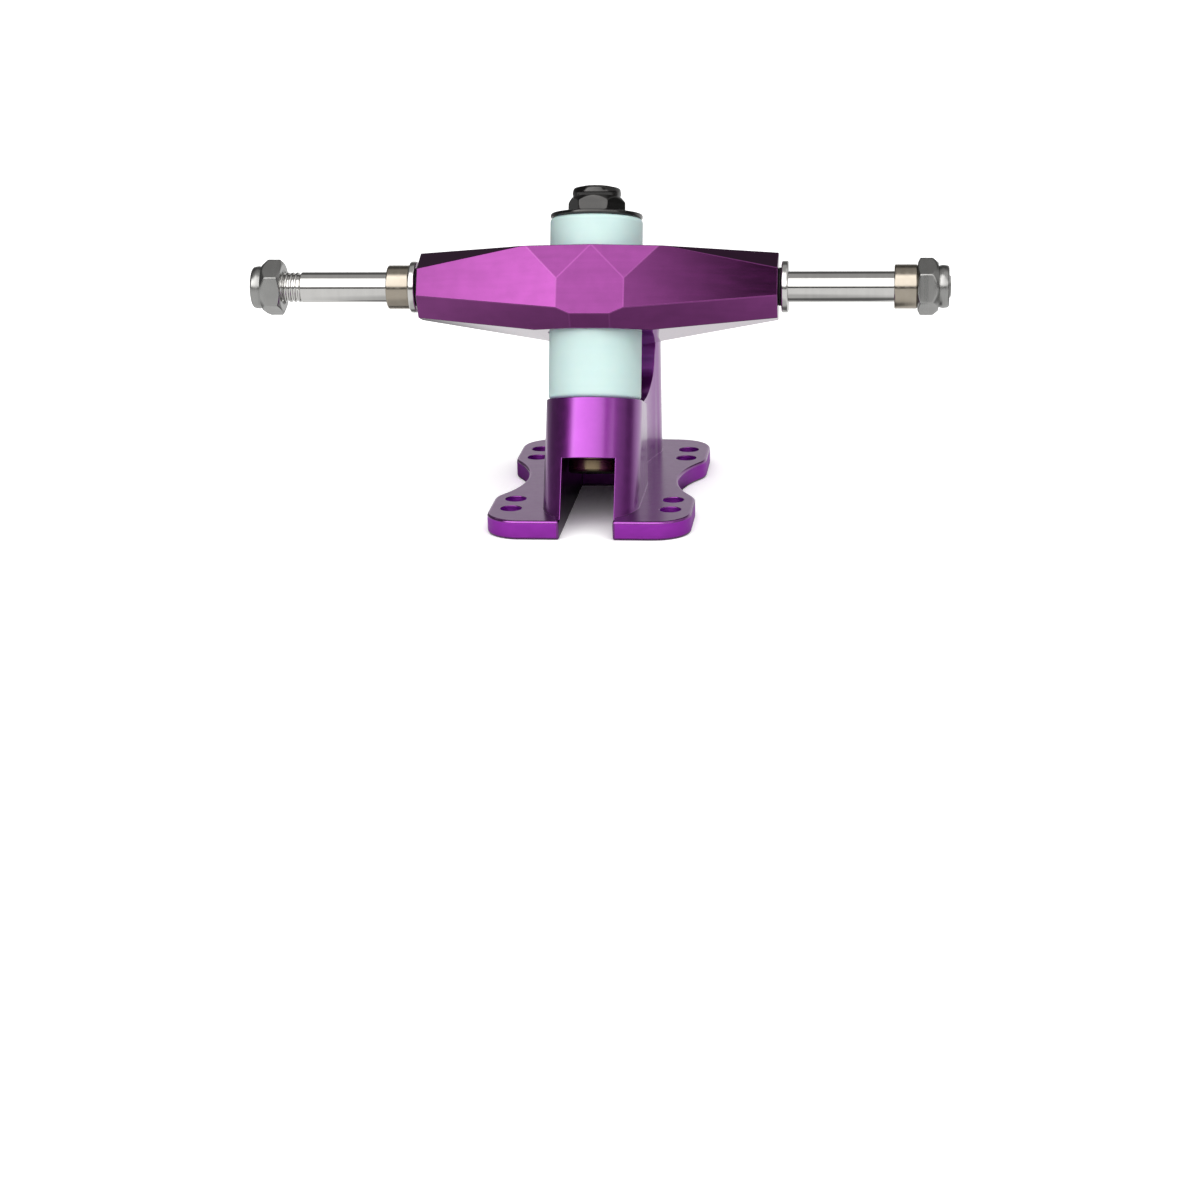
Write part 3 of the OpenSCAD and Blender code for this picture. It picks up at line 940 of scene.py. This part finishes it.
@dataclass(frozen=True)
class LockNut:
    """A hexagon lock nut with a round collar that holds a locking ring."""

    flats: float
    hexagon: float
    turn: float
    collar: float
    collar_radius: float
    bore: float
    opening: float
    wall: float = 0.8 * MM
    mouth: float = 0.4 * MM
    mouth_rounding: float = 0.2 * MM
    lip: float = 0.6 * MM
    neck: float = 0.3 * MM
    seam: float = 0.05 * MM
    bulge_height: float = 0.4
    bulge_rounding: float = 2.0 * MM
    rim_inset: float = 0.3 * MM
    rim_rounding: float = 0.7 * MM
    bore_bevel: float = 0.5 * MM
    base_share: float = 0.92
    chamfer_share: float = 0.95
    side_share: float = 1.2
    chamfer_steps: int = 8
    chamfer_overrun: float = 1.1
    foot_slope: float = math.tan(math.radians(60))
    crown_slope: float = math.tan(math.radians(38))
    corner_power: float = 90.0
    half_offsets: ClassVar[tuple[float, ...]] = (1, 2, 3.5, 5.5, 8, 11, 15, 20, 25)

    @classmethod
    def fitted(cls, nut: Span, insert: Span, **sizes: float) -> "LockNut":
        """Fit a nut to the reach of its solid and of its locking ring.

        Args:
            nut: Reach of the solid.
            insert: Reach of the locking ring.
            **sizes: The nut's flats, hexagon and turn.

        Returns:
            The nut.
        """
        return cls(
            collar=nut.high - nut.low - sizes["hexagon"],
            collar_radius=insert.outer + cls.wall,
            bore=nut.inner,
            opening=nut.inner + cls.mouth,
            **sizes,
        )

    def build(self, name: str, axis: Axis, height: float) -> Piece:
        """Build the nut from its radial rule, resting at a height of an axis."""
        loops = [self._ring(*station) for station in self._stations()]
        return solid(name, skin(loops, closed=True), axis.matrix(height))

    def _stations(self) -> list[tuple[float, float, bool]]:
        """List the rings of the nut.

        Returns:
            Radius, height and whether the hexagon cuts the ring, going round the section.
        """
        half = self.flats / 2
        top = self.hexagon + self.collar
        corner = half / math.cos(math.radians(HEX_STEP / 2))
        rim = self.chamfer_share * half
        foot = (corner - rim) / self.foot_slope
        shoulder = max(rim, self.collar_radius + self.seam)
        crown = (corner - shoulder) / self.crown_slope
        hollow = self.collar_radius - self.wall
        shares = [step / self.chamfer_steps for step in range(self.chamfer_steps + 1)]
        foot_run = self.foot_slope * foot * self.chamfer_overrun
        crown_run = self.crown_slope * crown * self.chamfer_overrun
        base = [
            (self.bore, self.bore_bevel),
            (self.bore + self.bore_bevel, 0.0),
            (self.base_share * half, 0.0),
        ]
        sides = [(rim + foot_run * share, foot * share) for share in shares]
        sides.append((self.side_share * half, self.hexagon / 2))
        sides += [
            (shoulder + crown_run * share, self.hexagon - crown * share)
            for share in reversed(shares)
        ]
        upper = rounded(
            [
                (self.collar_radius - self.neck, self.hexagon + self.seam, 0.0),
                (
                    self.collar_radius,
                    self.hexagon + self.bulge_height * self.collar,
                    self.bulge_rounding,
                ),
                (self.collar_radius - self.rim_inset, top, self.rim_rounding),
                (self.opening, top, self.mouth_rounding),
                (self.opening, top - self.lip, 0.0),
                (hollow, top - self.lip, 0.0),
                (hollow, self.hexagon, 0.0),
                (self.bore, self.hexagon, 0.0),
            ]
        )
        cuts = ((base, False), (sides, True), (upper, False))
        return [(radius, height, cut) for group, cut in cuts for radius, height in group]

    def _ring(self, radius: float, height: float, cut: bool) -> list[Vector]:
        """Build one ring.

        Args:
            radius: Radius of the turned envelope.
            height: Height of the ring.
            cut: Whether the hexagon cuts it.

        Returns:
            The ring's points.
        """
        before = [-offset for offset in reversed(self.half_offsets)]
        offsets = [-HEX_STEP / 2, *before, 0, *self.half_offsets]
        points = []
        for sector in range(HEX_SIDES):
            for offset in offsets:
                angle = math.radians(HEX_STEP * sector + offset)
                reach = self._cut_radius(angle, radius) if cut else radius
                turn = angle + self.turn
                points.append(Vector((reach * math.cos(turn), reach * math.sin(turn), height)))
        return points

    def _cut_radius(self, angle: float, envelope: float) -> float:
        """Find where the hexagon and the turned envelope meet, with the edge between them eased.

        Args:
            angle: Angle from a corner of the hexagon.
            envelope: Radius of the turned envelope.

        Returns:
            The radius.
        """
        power = self.corner_power
        total = (self.flats / 2 / envelope) ** power
        for side in range(HEX_SIDES):
            across = math.cos(angle - math.radians(HEX_STEP / 2 + HEX_STEP * side))
            total += max(across, 0.0) ** power
        return self.flats / 2 * total ** (-1 / power)


@dataclass(frozen=True)
class TurnedAssembly(Assembly):
    """A sub-assembly whose pieces are turned about one axis."""

    axis: Axis

    def span(self, node: str) -> Span:
        """Measure a CAD node about the axis."""
        return self.axis.span(self.frame["nodes"][node])

    def turn(
        self, node: str, corners: Sequence[Corner], slot: Slot, finish: Material, name: str = ""
    ) -> None:
        """Turn the piece that replaces a node, and publish it."""
        piece = turned(name or f"{node}_finish", corners, self.axis)
        self.publish(piece, node, slot, finish)

    def nut(self, node: str, insert: Span, slot: Slot, finish: Material, **sizes: float) -> None:
        """Build the lock nut that replaces a node, and publish it.

        Args:
            node: CAD node of the nut.
            insert: Reach of its locking ring.
            slot: Material slot; not used.
            finish: Its finish.
            **sizes: The nut's flats, hexagon and turn.
        """
        nut = self.span(node)
        piece = LockNut.fitted(nut, insert, **sizes).build(f"{node}_finish", self.axis, nut.low)
        self.publish(piece, node, slot, finish)


@dataclass(frozen=True)
class KingpinStack(TurnedAssembly):
    """The kingpin with its nut and washer."""

    nut_flats: float = 13.1 * MM
    nut_hexagon: float = 4.3 * MM
    nut_turn: float = math.radians(57.5)
    washer_rounding: float = 0.35 * MM
    insert_rounding: float = 0.2 * MM
    washer_clearance: float = 0.05 * MM
    head_height: float = 3.2 * MM
    head_rounding: float = 0.8 * MM
    shoulder_rounding: float = 0.2 * MM
    tip_bevel: float = 0.6 * MM
    bevel_rounding: float = 0.1 * MM
    tip_rounding: float = 0.15 * MM

    def build(self) -> None:
        """Build and dress the stack."""
        made = self.finishes
        washer, pin, insert = map(self.span, ("top_washer", "kingpin", "kingpin_nut_insert"))
        self.turn("top_washer", ring_corners(washer, self.washer_rounding), Slot.BLACK, made.black)
        shank = washer.inner - self.washer_clearance
        shoulder = pin.low + self.head_height
        corners = [
            (0.0, pin.low, 0.0),
            (pin.outer, pin.low, self.head_rounding),
            (pin.outer, shoulder, self.shoulder_rounding),
            (shank, shoulder, self.shoulder_rounding),
            (shank, pin.high - self.tip_bevel, self.bevel_rounding),
            (shank - self.tip_bevel, pin.high, self.tip_rounding),
            (0.0, pin.high, 0.0),
        ]
        self.turn("kingpin", corners, Slot.KINGPIN, made.kingpin)
        sizes = {"flats": self.nut_flats, "hexagon": self.nut_hexagon, "turn": self.nut_turn}
        self.nut("kingpin_nut", insert, Slot.BLACK, made.black, **sizes)
        corners = ring_corners(insert, self.insert_rounding)
        name = "kingpin_insert_finish"
        self.turn("kingpin_nut_insert", corners, Slot.NYLON, made.nylon, name)


@dataclass(frozen=True)
class Bushings(TurnedAssembly):
    """The two urethane barrels, each held by the base at one end and by the hanger at the other.

    The pivot height is the height of the steering axis on the kingpin.
    """

    pivot_height: float
    rounding: float = 1.1 * MM
    rows: int = 26
    swing: float = math.radians(15)
    ease: float = 0.12 * MM

    def build(self) -> None:
        """Build and dress both bushings."""
        axis = self.axis
        for node, first, second in (
            ("lower_bushing", "base", "hanger"),
            ("upper_bushing", "hanger", "base"),
        ):
            span = self.span(node)
            piece = self._barrel(f"{node}_finish", span, first == "base")
            piece.data.materials.append(self.finishes.mint)
            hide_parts(node)
            axis.point(span.low)
            axis.point(span.high)
            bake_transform(piece)
            report(piece)

    def _barrel(self, name: str, span: Span, grows: bool) -> Piece:
        """Build one barrel with a bore that clears the kingpin at full steer.

        Args:
            name: Name of the object.
            span: Size of the bushing.
            grows: Whether the hanger holds the upper end.

        Returns:
            The barrel.
        """
        outline = rounded(
            [
                (span.outer, span.low, self.rounding),
                (span.outer, span.high, self.rounding),
                (span.inner, span.high, 0.0),
                (span.inner, span.low, 0.0),
            ]
        )
        half = len(outline) // 2 - 1
        low_arc = outline[:half]
        high_arc = outline[half:-2]
        foot, crown = low_arc[-1][1], high_arc[0][1]
        wall = [
            (span.outer, foot + (crown - foot) * row / self.rows) for row in range(1, self.rows)
        ]
        bore = []
        for row in range(self.rows + 1):
            share = 1 - row / self.rows
            height = span.low + (span.high - span.low) * share
            held = share if grows else 1 - share
            shift = held * abs(self.pivot_height - height) * math.sin(self.swing)
            bore.append((span.inner + shift + self.ease, height))
        loops = rings(low_arc + wall + high_arc + bore)
        return solid(name, skin(loops, closed=True), self.axis.matrix())


@dataclass(frozen=True)
class HalfAxle(TurnedAssembly):
    """One half axle with everything on it, about an axis that points outward."""

    thread: ThreadTree
    side: Side
    nut_turn: float
    nut_flats: float = 13.0 * MM
    nut_hexagon: float = 5.4 * MM
    seal_rounding: float = 0.36 * MM
    washer_rounding: float = 0.45 * MM
    spacer_rounding: float = 0.4 * MM
    insert_rounding: float = 0.2 * MM
    thread_length: float = 12.8 * MM
    thread_run_out: float = 0.5 * MM
    pitch: float = 1.25 * MM
    depth: float = 0.55 * MM
    crest: float = 0.45 * MM
    crest_sink: float = 0.05 * MM
    end_crests: float = 1.5
    tip_bevel: float = 0.8 * MM
    tip_rounding: float = 0.2 * MM
    foot_rounding: float = 0.3 * MM
    shoulder_rounding: float = 0.12 * MM
    root_rounding: float = 0.1 * MM

    def build(self) -> None:
        """Build and dress the half axle."""
        made = self.finishes
        side = self.side.value
        self._rod()
        for stem, rounding, slot, finish in (
            ("axle_seal", self.seal_rounding, Slot.RUBBER, made.rubber),
            ("hub_washer", self.washer_rounding, Slot.BRIGHT, made.washer),
            ("spacer", self.spacer_rounding, Slot.NICKEL, made.nickel),
            ("nut_insert", self.insert_rounding, Slot.NYLON, made.nylon),
        ):
            node = f"{stem}_{side}"
            self.turn(node, ring_corners(self.span(node), rounding), slot, finish)
        insert = self.span(f"nut_insert_{side}")
        sizes = {"flats": self.nut_flats, "hexagon": self.nut_hexagon, "turn": self.nut_turn}
        self.nut(f"axle_nut_{side}", insert, Slot.ZINC, made.zinc, **sizes)

    def _rod(self) -> None:
        """Build the polished rod and the thread on its tip."""
        steel = self.finishes.steel
        node = f"axle_{self.side.value}"
        span = self.span(node)
        start = span.high - self.thread_length
        root = span.outer - self.depth
        corners = [
            (0.0, span.low, 0.0),
            (span.outer, span.low, self.foot_rounding),
            (span.outer, start, self.shoulder_rounding),
            (root, start + self.thread_run_out, self.root_rounding),
            (root, span.high - self.tip_bevel, self.root_rounding),
            (root - self.tip_bevel, span.high, self.tip_rounding),
            (0.0, span.high, 0.0),
        ]
        self.turn(node, corners, Slot.BRIGHT, steel)
        length = self.thread_length - self.tip_bevel - self.end_crests * self.crest
        ridge = self.thread.wind(
            f"{node}_thread",
            self.axis.matrix(start + self.crest),
            Material=steel,
            Radius=span.outer - self.crest_sink - self.crest,
            Pitch=self.pitch,
            Crest=self.crest,
            Turns=length / self.pitch,
        )
        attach(ridge, body_of(self.frame, node))
        report(ridge)


@dataclass(frozen=True)
class Pivot(TurnedAssembly):
    """The pivot pin and the cup that it turns in."""

    pin_root_rounding: float = 0.5 * MM
    pin_tip_rounding: float = 1.2 * MM
    cup_floor: float = 2.0 * MM
    cup_floor_rounding: float = 1.0 * MM
    cup_mouth_rounding: float = 0.4 * MM
    cup_rim_rounding: float = 0.3 * MM
    cup_back_rounding: float = 0.8 * MM

    def build(self) -> None:
        """Build and dress the pivot."""
        pin = self.span("pivot_pin")
        corners = [
            (0.0, pin.low, 0.0),
            (pin.outer, pin.low, self.pin_root_rounding),
            (pin.outer, pin.high, self.pin_tip_rounding),
            (0.0, pin.high, 0.0),
        ]
        self.turn("pivot_pin", corners, Slot.BRIGHT, self.finishes.steel)
        cup = self.span("pivot_cup")
        corners = [
            (0.0, cup.high - self.cup_floor, 0.0),
            (cup.inner, cup.high - self.cup_floor, self.cup_floor_rounding),
            (cup.inner, cup.low, self.cup_mouth_rounding),
            (cup.outer, cup.low, self.cup_rim_rounding),
            (cup.outer, cup.high, self.cup_back_rounding),
            (0.0, cup.high, 0.0),
        ]
        self.turn("pivot_cup", corners, Slot.CUP, self.finishes.cup)


@dataclass(frozen=True)
class Patch:
    """A patch of the surroundings: its fades across and up, in degrees, which are multiplied."""

    across: tuple[Fade, ...]
    up: tuple[Fade, ...]

    def level(self, graph: Graph, azimuth: Socket, rise: Socket) -> Socket:
        """Give the patch's level in a direction."""
        ramps = [graph.ramp(azimuth, fade) for fade in self.across]
        return graph.product(*ramps, *(graph.ramp(rise, fade) for fade in self.up))


@dataclass(frozen=True)
class Studio:
    """Floor, surroundings and camera."""

    camera_place: Place = (79.137 * MM, -714.428 * MM, 191.473 * MM)
    camera_aim: Place = (-1.613 * MM, 0.0, -29.09 * MM)
    camera_roll: float = math.radians(-1.276)
    camera_reach: tuple[float, float] = (0.01, 20.0)
    sensor: float = 36.0
    lens: float = 82.87
    floor_size: float = 6.0
    floor_cells: int = 8
    floor_tones: tuple[Colour, Colour] = ((0.86, 0.86, 0.86), (0.88, 0.88, 0.88))
    floor_mottle: float = 30.0
    floor_lift: float = 0.62
    floor_shade: float = 30.0 * MM
    floor_shade_samples: int = 8
    # floor_under sizes the patch round the object; inside it the floor that polished pieces see is
    # darker, a painted shadow of the object.
    floor_under: Place = (75.0 * MM, 66.0 * MM, 1.0)
    floor_mirrored_shadow: Fade = Fade(0.85, 1.3, 0.5, 0.78)
    floor_ring: tuple[Fade, Fade] = (Fade(1.0, 1.15), Fade(1.8, 2.4, 1.0, 0.0))
    floor_sector: tuple[Fade, Fade] = (Fade(-110.0, -95.0), Fade(70.0, 95.0, 1.0, 0.0))
    side_level: float = 0.25
    lamp_place: Place = (0.589, -0.274, 1.126)
    lamp_size: float = 0.8
    lamp_power: float = 4.2
    backdrop_way: Place = (0.342, 0.94, 0.0)
    backdrop_edge: Fade = Fade(0.66, 0.8)
    backdrop_top: Fade = Fade(16.0, 28.0, 0.34, 0.0)
    backdrop_light: float = 0.5
    light_colour: tuple[float, ...] = (1.0, 0.99, 0.985, 1.0)
    front: Patch = Patch(
        (Fade(-66.0, -51.0), Fade(-55.0, 0.0, 2.6, 1.95), Fade(0.0, 45.0, 1.0, 0.7)),
        (Fade(8.0, 17.0), Fade(64.0, 82.0, 1.0, 0.0)),
    )
    front_right: Fade = Fade(36.5, 42.0, 1.0, 0.0)
    drift_below: float = 33.5
    drift_rate: float = 8.5
    drift_most: float = 24.0
    dimmed: Patch = Patch((Fade(-36.0, -24.0, 1.0, 0.0),), (Fade(44.0, 52.0, 0.0, 0.2),))
    panel: Patch = Patch(
        (Fade(-58.5, -52.0, 0.0, 0.88), Fade(-50.0, -44.0, 1.0, 0.0)),
        (Fade(8.0, 17.0), Fade(40.0, 48.0, 1.0, 0.0)),
    )
    fill: Patch = Patch(
        (Fade(47.0, 62.0, 0.0, 0.34), Fade(105.0, 140.0, 1.0, 0.0)), (Fade(8.0, 20.0),)
    )
    overhead: Fade = Fade(50.0, 64.0, 0.09, 0.36)

    def build(self) -> None:
        """Build the whole studio."""
        self._floor()
        self._lamp()
        self._world()
        self._camera()
        bpy.context.scene.view_settings.view_transform = "Standard"

    def _floor(self) -> None:
        """Lay the pale floor, which keeps the object's shadow."""
        work = bmesh.new()
        cells = self.floor_cells
        bmesh.ops.create_grid(work, x_segments=cells, y_segments=cells, size=self.floor_size / 2)
        data = bpy.data.meshes.new("floor")
        work.to_mesh(data)
        work.free()
        data.materials.append(self._paper())
        floor = linked("floor", data)

    def _paper(self) -> Material:
        """Build the floor's paper: white to the camera with a glow dimmed near the object as
        painted shade, and graded to polished pieces with a painted shadow round the object.

        Returns:
            The material.
        """
        material = bpy.data.materials.new("studio_paper")
        graph = Graph.of_owner(material)
        place = graph.add("ShaderNodeTexCoord").outputs["Object"]
        noise = graph.add("ShaderNodeTexNoise", {"Vector": place, "Scale": self.floor_mottle})
        tone = graph.mix(noise.outputs[0], *self.floor_tones)
        paper = graph.add("ShaderNodeBsdfDiffuse", {"Color": tone})
        camera_ray = graph.add("ShaderNodeLightPath").outputs["Is Camera Ray"]
        # The camera-seen glow of the floor, and the floor that polished pieces see, are dimmed by
        # ambient occlusion: painted shade near the object and in the slot.
        ao_painted_shade = graph.add(
            "ShaderNodeAmbientOcclusion",
            {"Distance": self.floor_shade},
            samples=self.floor_shade_samples,
        ).outputs["AO"]
        shown = graph.product(ao_painted_shade, self.floor_lift, camera_ray)
        glow = graph.add("ShaderNodeEmission", {"Color": WHITE, "Strength": shown})
        both = graph.add("ShaderNodeAddShader", {0: paper.outputs[0], 1: glow.outputs[0]})
        # Polished pieces see the floor as a glow: darker near the object, a painted shadow, and
        # dimmer at the dark sides beyond a ring round it.
        scaled = graph.vector("DIVIDE", place, self.floor_under)
        reach = graph.vector("LENGTH", scaled, result="Value")
        ring = graph.product(*(graph.ramp(reach, fade) for fade in self.floor_ring))
        sector = graph.math("MAXIMUM", self._lit_sector(graph, place), ring)
        mirrored = graph.product(graph.ramp(reach, self.floor_mirrored_shadow), sector, ao_painted_shade)
        mirror = graph.add("ShaderNodeEmission", {"Color": WHITE, "Strength": mirrored})
        mixed = graph.add(
            "ShaderNodeMixShader", {0: graph.polished(), 1: both.outputs[0], 2: mirror.outputs[0]}
        )
        graph.add("ShaderNodeOutputMaterial", {"Surface": mixed.outputs[0]})
        return material

    @staticmethod
    def _azimuth(graph: Graph, way: Socket) -> Socket:
        """Find how far a place or direction is turned from the front, in degrees."""
        parts = graph.add("ShaderNodeSeparateXYZ", {"Vector": way}).outputs
        return graph.math(
            "DEGREES", graph.math("ARCTAN2", parts["X"], graph.product(parts["Y"], -1.0))
        )

    def _lit_sector(self, graph: Graph, way: Socket) -> Socket:
        """Tell the lit front and back of the studio from its dark sides.

        Args:
            graph: Tree to add to.
            way: Place or direction, seen from the object.

        Returns:
            1 in front and behind, less at the sides.
        """
        azimuth = self._azimuth(graph, way)
        ahead = graph.product(*(graph.ramp(azimuth, fade) for fade in self.floor_sector))
        lit = graph.math("MAXIMUM", ahead, self._behind(graph, way))
        return graph.math("MAXIMUM", lit, self.side_level)

    def _behind(self, graph: Graph, way: Socket) -> Socket:
        """Find the sector that the backdrop fills.

        Args:
            graph: Tree to add to.
            way: Place or direction, seen from the object.

        Returns:
            1 where the backdrop is, 0 elsewhere.
        """
        level = graph.vector("NORMALIZE", graph.vector("MULTIPLY", way, (1.0, 1.0, 0.0)))
        towards = graph.vector("DOT_PRODUCT", level, self.backdrop_way, result="Value")
        return graph.ramp(towards, self.backdrop_edge)

    def _lamp(self) -> None:
        """Hang the soft lamp over the front of the object."""
        data = bpy.data.lights.new("soft_lamp", "AREA")
        data.shape = "SQUARE"
        data.size = self.lamp_size
        data.energy = self.lamp_power
        lamp = linked("soft_lamp", data)
        place = Vector(self.lamp_place)
        aim = (-place).to_track_quat("-Z", "Y").to_matrix().to_4x4()
        lamp.matrix_world = Matrix.Translation(place) @ aim
        lamp.visible_glossy = False

    def _front(self, graph: Graph, azimuth: Socket, rise: Socket) -> Socket:
        """Give the level of the wide soft light, whose right edge moves outward near the ground.

        Args:
            graph: Tree to add to.
            azimuth: Turn from the front, in degrees.
            rise: Height above the level, in degrees.

        Returns:
            The level.
        """
        under = graph.math("MAXIMUM", graph.math("SUBTRACT", self.drift_below, rise), 0.0)
        drift = graph.math("MINIMUM", graph.product(under, self.drift_rate), self.drift_most)
        right = graph.ramp(graph.math("SUBTRACT", azimuth, drift), self.front_right)
        kept = graph.math("SUBTRACT", 1.0, self.dimmed.level(graph, azimuth, rise))
        return graph.product(self.front.level(graph, azimuth, rise), right, kept)

    def _world(self) -> None:
        """Build the surroundings: soft light in front, a panel on the left, a white backdrop."""
        world = bpy.data.worlds.new("studio")
        bpy.context.scene.world = world
        graph = Graph.of_owner(world)
        way = graph.add("ShaderNodeTexCoord").outputs["Generated"]
        azimuth = self._azimuth(graph, way)
        height = graph.add("ShaderNodeSeparateXYZ", {"Vector": way}).outputs["Z"]
        rise = graph.math("DEGREES", graph.math("ARCSINE", height))
        backdrop = graph.product(self._behind(graph, way), graph.ramp(rise, self.backdrop_top))
        level = graph.total(
            self._front(graph, azimuth, rise),
            self.panel.level(graph, azimuth, rise),
            graph.ramp(rise, self.overhead),
            self.fill.level(graph, azimuth, rise),
            graph.product(backdrop, self.backdrop_light),
        )
        light = graph.add("ShaderNodeBackground", {"Color": self.light_colour, "Strength": level})
        white = graph.add("ShaderNodeBackground", {"Color": WHITE, "Strength": 1.0})
        camera_ray = graph.add("ShaderNodeLightPath").outputs["Is Camera Ray"]
        shown = graph.math("MAXIMUM", camera_ray, graph.product(graph.polished(), backdrop))
        mixed = graph.add(
            "ShaderNodeMixShader", {0: shown, 1: light.outputs[0], 2: white.outputs[0]}
        )
        graph.add("ShaderNodeOutputWorld", {"Surface": mixed.outputs[0]})

    def _camera(self) -> None:
        """Set the camera where the photograph was taken from."""
        data = bpy.data.cameras.new("camera")
        data.sensor_width = self.sensor
        data.lens = self.lens
        data.clip_start, data.clip_end = self.camera_reach
        camera = linked("camera", data)
        place = Vector(self.camera_place)
        aim = (Vector(self.camera_aim) - place).to_track_quat("-Z", "Y").to_matrix().to_4x4()
        roll = Matrix.Rotation(self.camera_roll, 4, "Z")
        camera.matrix_world = Matrix.Translation(place) @ aim @ roll
        bpy.context.scene.camera = camera


def half_axis(axle: Axis, side: Side) -> Axis:
    """Give the axis of one half axle, pointing outward."""
    return Axis(axle.origin, Vector((1.0 if side is Side.RIGHT else -1.0, 0.0, 0.0)))


def main() -> None:
    """Build every sub-assembly in order."""
    logging.basicConfig(level=logging.INFO, format="%(message)s")
    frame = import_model()
    steering = Axis.of_joint(frame, "steering")
    kingpin = Axis.of_joint(frame, "kingpin_nut_turn")
    washer = Axis.of_joint(frame, "hub_washer_right_turn")
    axle = Axis(Vector((0.0, washer.origin.y, washer.origin.z)), Vector((1.0, 0.0, 0.0)))
    finishes = Finishes.build(kingpin, axle)
    thread = ThreadTree()
    BasePlate(frame, finishes).build()
    Hanger(frame, finishes).build()
    KingpinStack(frame, finishes, kingpin).build()
    pivot_height = (steering.origin - kingpin.origin).dot(kingpin.direction)
    Bushings(frame, finishes, kingpin, pivot_height).build()
    for side, turn in NUT_TURNS.items():
        HalfAxle(frame, finishes, half_axis(axle, side), thread, side, turn).build()
    Pivot(frame, finishes, steering).build()
    Studio().build()


if __name__ == "__main__":
    main()
